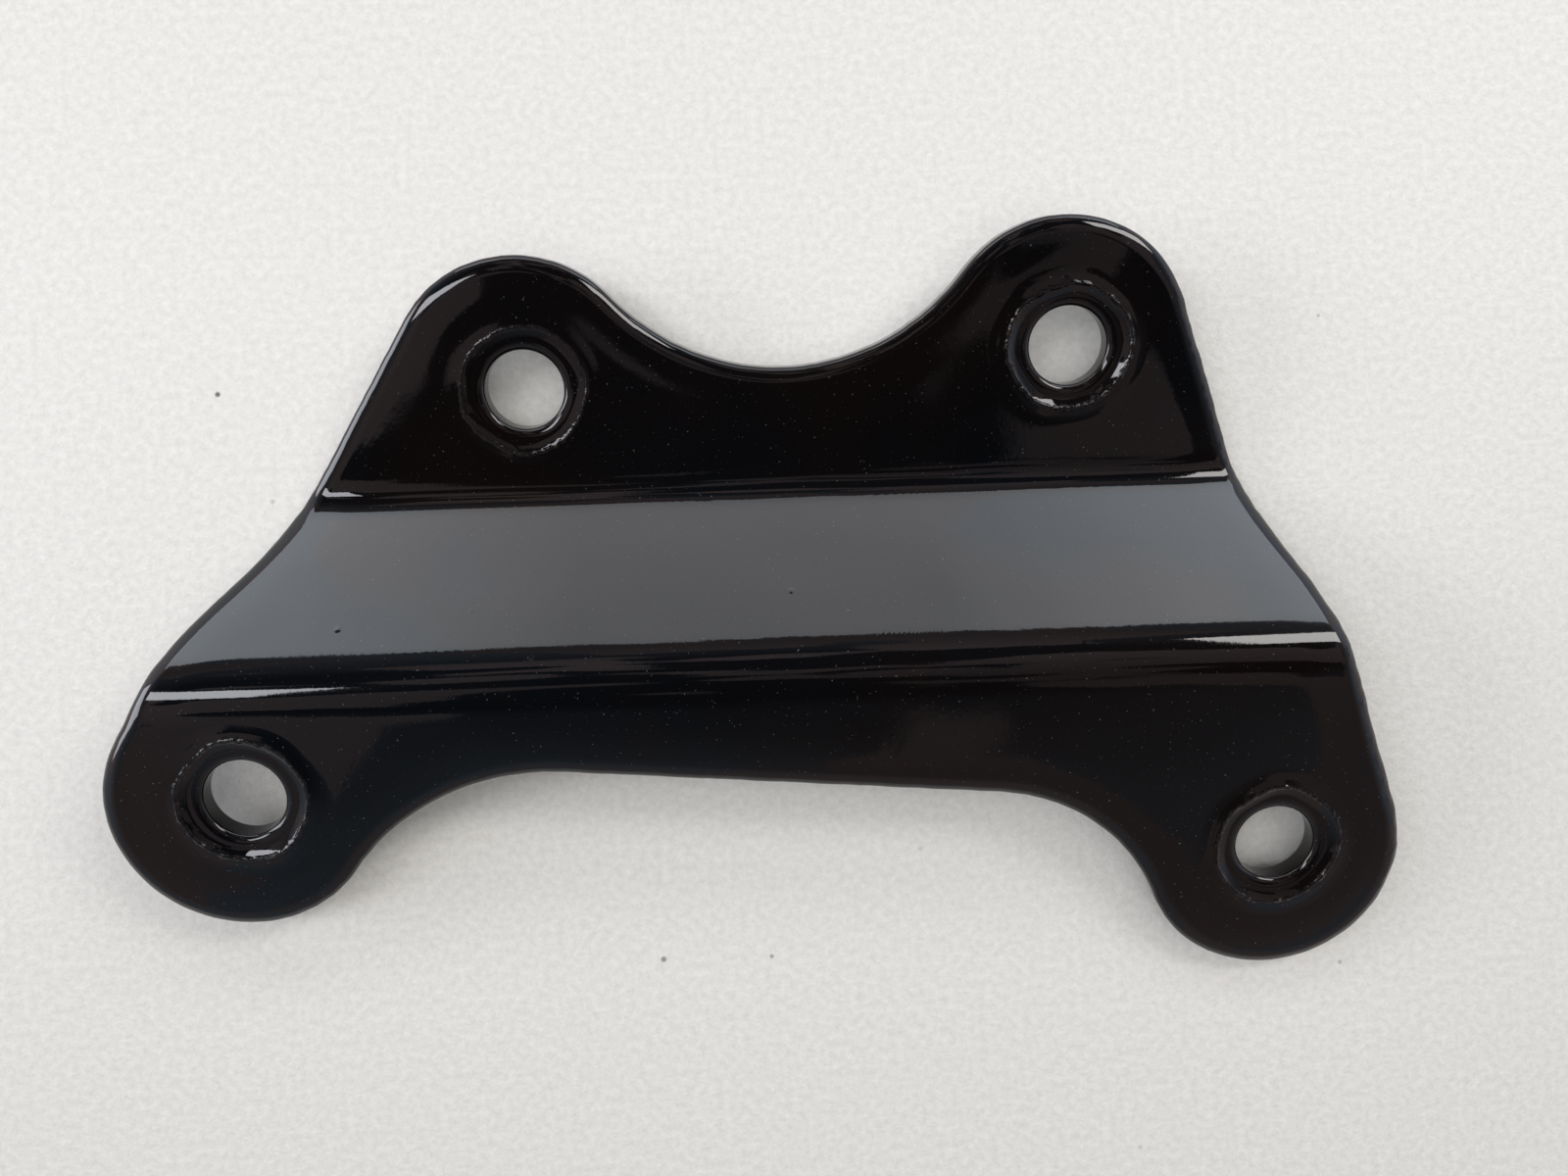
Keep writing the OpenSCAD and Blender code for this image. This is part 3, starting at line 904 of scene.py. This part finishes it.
behind_part = remap(tree, axes.outputs["Y"], -0.6, 0.1, 0.1, 1.0)
low_down = math_node(tree, "MULTIPLY", low_down, behind_part)
patches = remap(tree, noise(tree, direction, 3.0, 2, 0.5), 0.49, 0.51)
high_up = remap(tree, axes.outputs["Z"], 0.65, 0.85)
uneven = remap(tree, patches, 0, 1, -PATCH_CONTRAST, PATCH_CONTRAST)
uneven = math_node(tree, "MULTIPLY", uneven, high_up)
uneven = math_node(tree, "ADD", uneven, PATCH_MIDDLE)
mirrored = math_node(tree, "MULTIPLY_ADD", overhead, uneven, low_down)
mirrored_tint = mix_colours(tree, patches, (0.72, 0.84, 1.0), (1.0, 0.82, 0.82))
print("nodes for what the gloss mirrors:", len(tree.nodes))

# %% Soft light for matt surfaces, and the backdrop
SOFT_TINT = (1.0, 0.99, 0.95)
soft_light = math_node(tree, "MULTIPLY", remap(tree, axes.outputs["Y"], -0.8, 0.6, 1.0, 0.45),
                       remap(tree, axes.outputs["Z"], 0.78, 0.95, 0.05, 2.4))
light_path = tree.nodes.new("ShaderNodeLightPath")
is_glossy = light_path.outputs["Is Glossy Ray"]
tint = mix_colours(tree, is_glossy, SOFT_TINT, mirrored_tint)
tree.links.new(tint, room.inputs["Color"])
which = tree.nodes.new("ShaderNodeMix")
tree.links.new(is_glossy, which.inputs["Factor"])
tree.links.new(soft_light, which.inputs["A"])
tree.links.new(mirrored, which.inputs["B"])
tree.links.new(which.outputs["Result"], room.inputs["Strength"])
seen = tree.nodes.new("ShaderNodeBackground")
seen.inputs["Color"].default_value = BACKDROP
either = tree.nodes.new("ShaderNodeMixShader")
tree.links.new(light_path.outputs["Is Camera Ray"], either.inputs[0])
tree.links.new(room.outputs[0], either.inputs[1])
tree.links.new(seen.outputs[0], either.inputs[2])
tree.links.new(either.outputs[0], tree.nodes["World Output"].inputs["Surface"])
print("room nodes:", len(tree.nodes))

# %% [markdown]
# The picture is shown as it is computed, with no film look.

# %% Finish
bpy.context.scene.view_settings.view_transform = "Standard"
